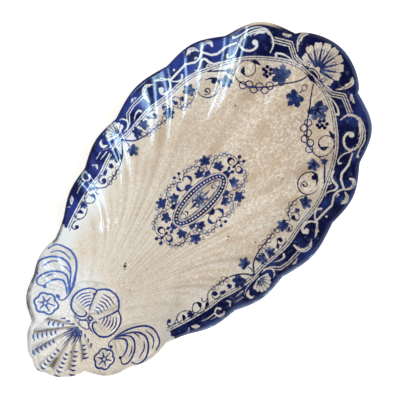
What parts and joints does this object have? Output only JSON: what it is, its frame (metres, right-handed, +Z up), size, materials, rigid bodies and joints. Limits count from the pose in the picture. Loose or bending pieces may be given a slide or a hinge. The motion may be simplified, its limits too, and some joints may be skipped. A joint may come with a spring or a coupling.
{
  "type": "appetizer dish",
  "caption": "Shallow scallop-shell serving dish in blue-printed glazed earthenware, with a lobed rim, flutes, a foot ring and a moulded shell handle",
  "frame": {"origin": "on the table, under the centre of the dish's bounding box", "axes": "+Z up; +Y along the dish from the handle to the far rim; +X across it, to the right seen from above with the handle nearest"},
  "size_m": [0.1546, 0.2796, 0.0349],
  "materials": {
    "printed_glaze": "gloss",
    "foot_glaze": "gloss",
    "painted_glaze": "gloss"
  },
  "bodies": {
    "root": {"dish_body": "printed_glaze", "foot_ring": "foot_glaze", "thumb_shell": "painted_glaze", "umbo_knot": "painted_glaze", "cockle_shell": "painted_glaze", "left_feather": "painted_glaze", "right_feather": "painted_glaze", "left_flower": "painted_glaze", "right_flower": "painted_glaze"}
  },
  "joints": []
}
